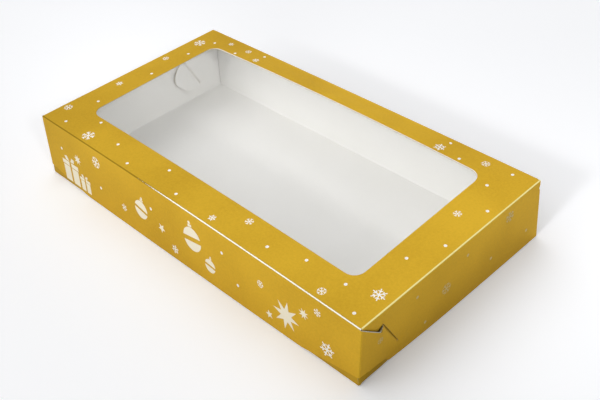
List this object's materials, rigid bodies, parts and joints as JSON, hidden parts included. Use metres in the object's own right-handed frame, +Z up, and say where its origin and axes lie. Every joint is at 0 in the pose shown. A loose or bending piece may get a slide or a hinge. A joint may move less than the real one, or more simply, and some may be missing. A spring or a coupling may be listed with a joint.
{
  "type": "bakery box",
  "caption": "Shallow rectangular bakery carton of folded gold board with tongue-and-slit corner locks and a hinged lid that holds a large clear film window.",
  "frame": {"origin": "centre of the closed box's overall outline, on the underside of the base panel that stands on the table", "axes": "+X along the box's length towards the right end, +Y from the front skirt towards the back wall with the hinge crease, +Z up"},
  "size_m": [0.345, 0.182, 0.051],
  "materials": {
    "gold_board": "folding boxboard printed satin metallic gold outside, with white snow print, and uncoated white inside",
    "clear_film": "clear glossy polyester window film",
    "dried_glue": "thin line of dried dispersion glue"
  },
  "bodies": {
    "base_tray": {"base_panel": "gold_board", "front_wall": "gold_board", "back_wall": "gold_board", "left_end_wall": "gold_board", "right_end_wall": "gold_board", "front_left_corner_flap": "gold_board", "front_right_corner_flap": "gold_board", "back_left_corner_flap": "gold_board", "back_right_corner_flap": "gold_board"},
    "lid": {"lid_panel": "gold_board", "window_film": "clear_film", "window_glue": "dried_glue", "lid_front_skirt": "gold_board", "lid_left_skirt": "gold_board", "lid_right_skirt": "gold_board", "lid_left_corner_flap": "gold_board", "lid_right_corner_flap": "gold_board"}
  },
  "joints": [
    {"name": "lid_hinge", "type": "hinge", "parent": "base_tray", "child": "lid", "pos_m": [0, 0.091, 0.051], "axis": [-1, 0, 0], "range_deg": [0, 195]}
  ]
}
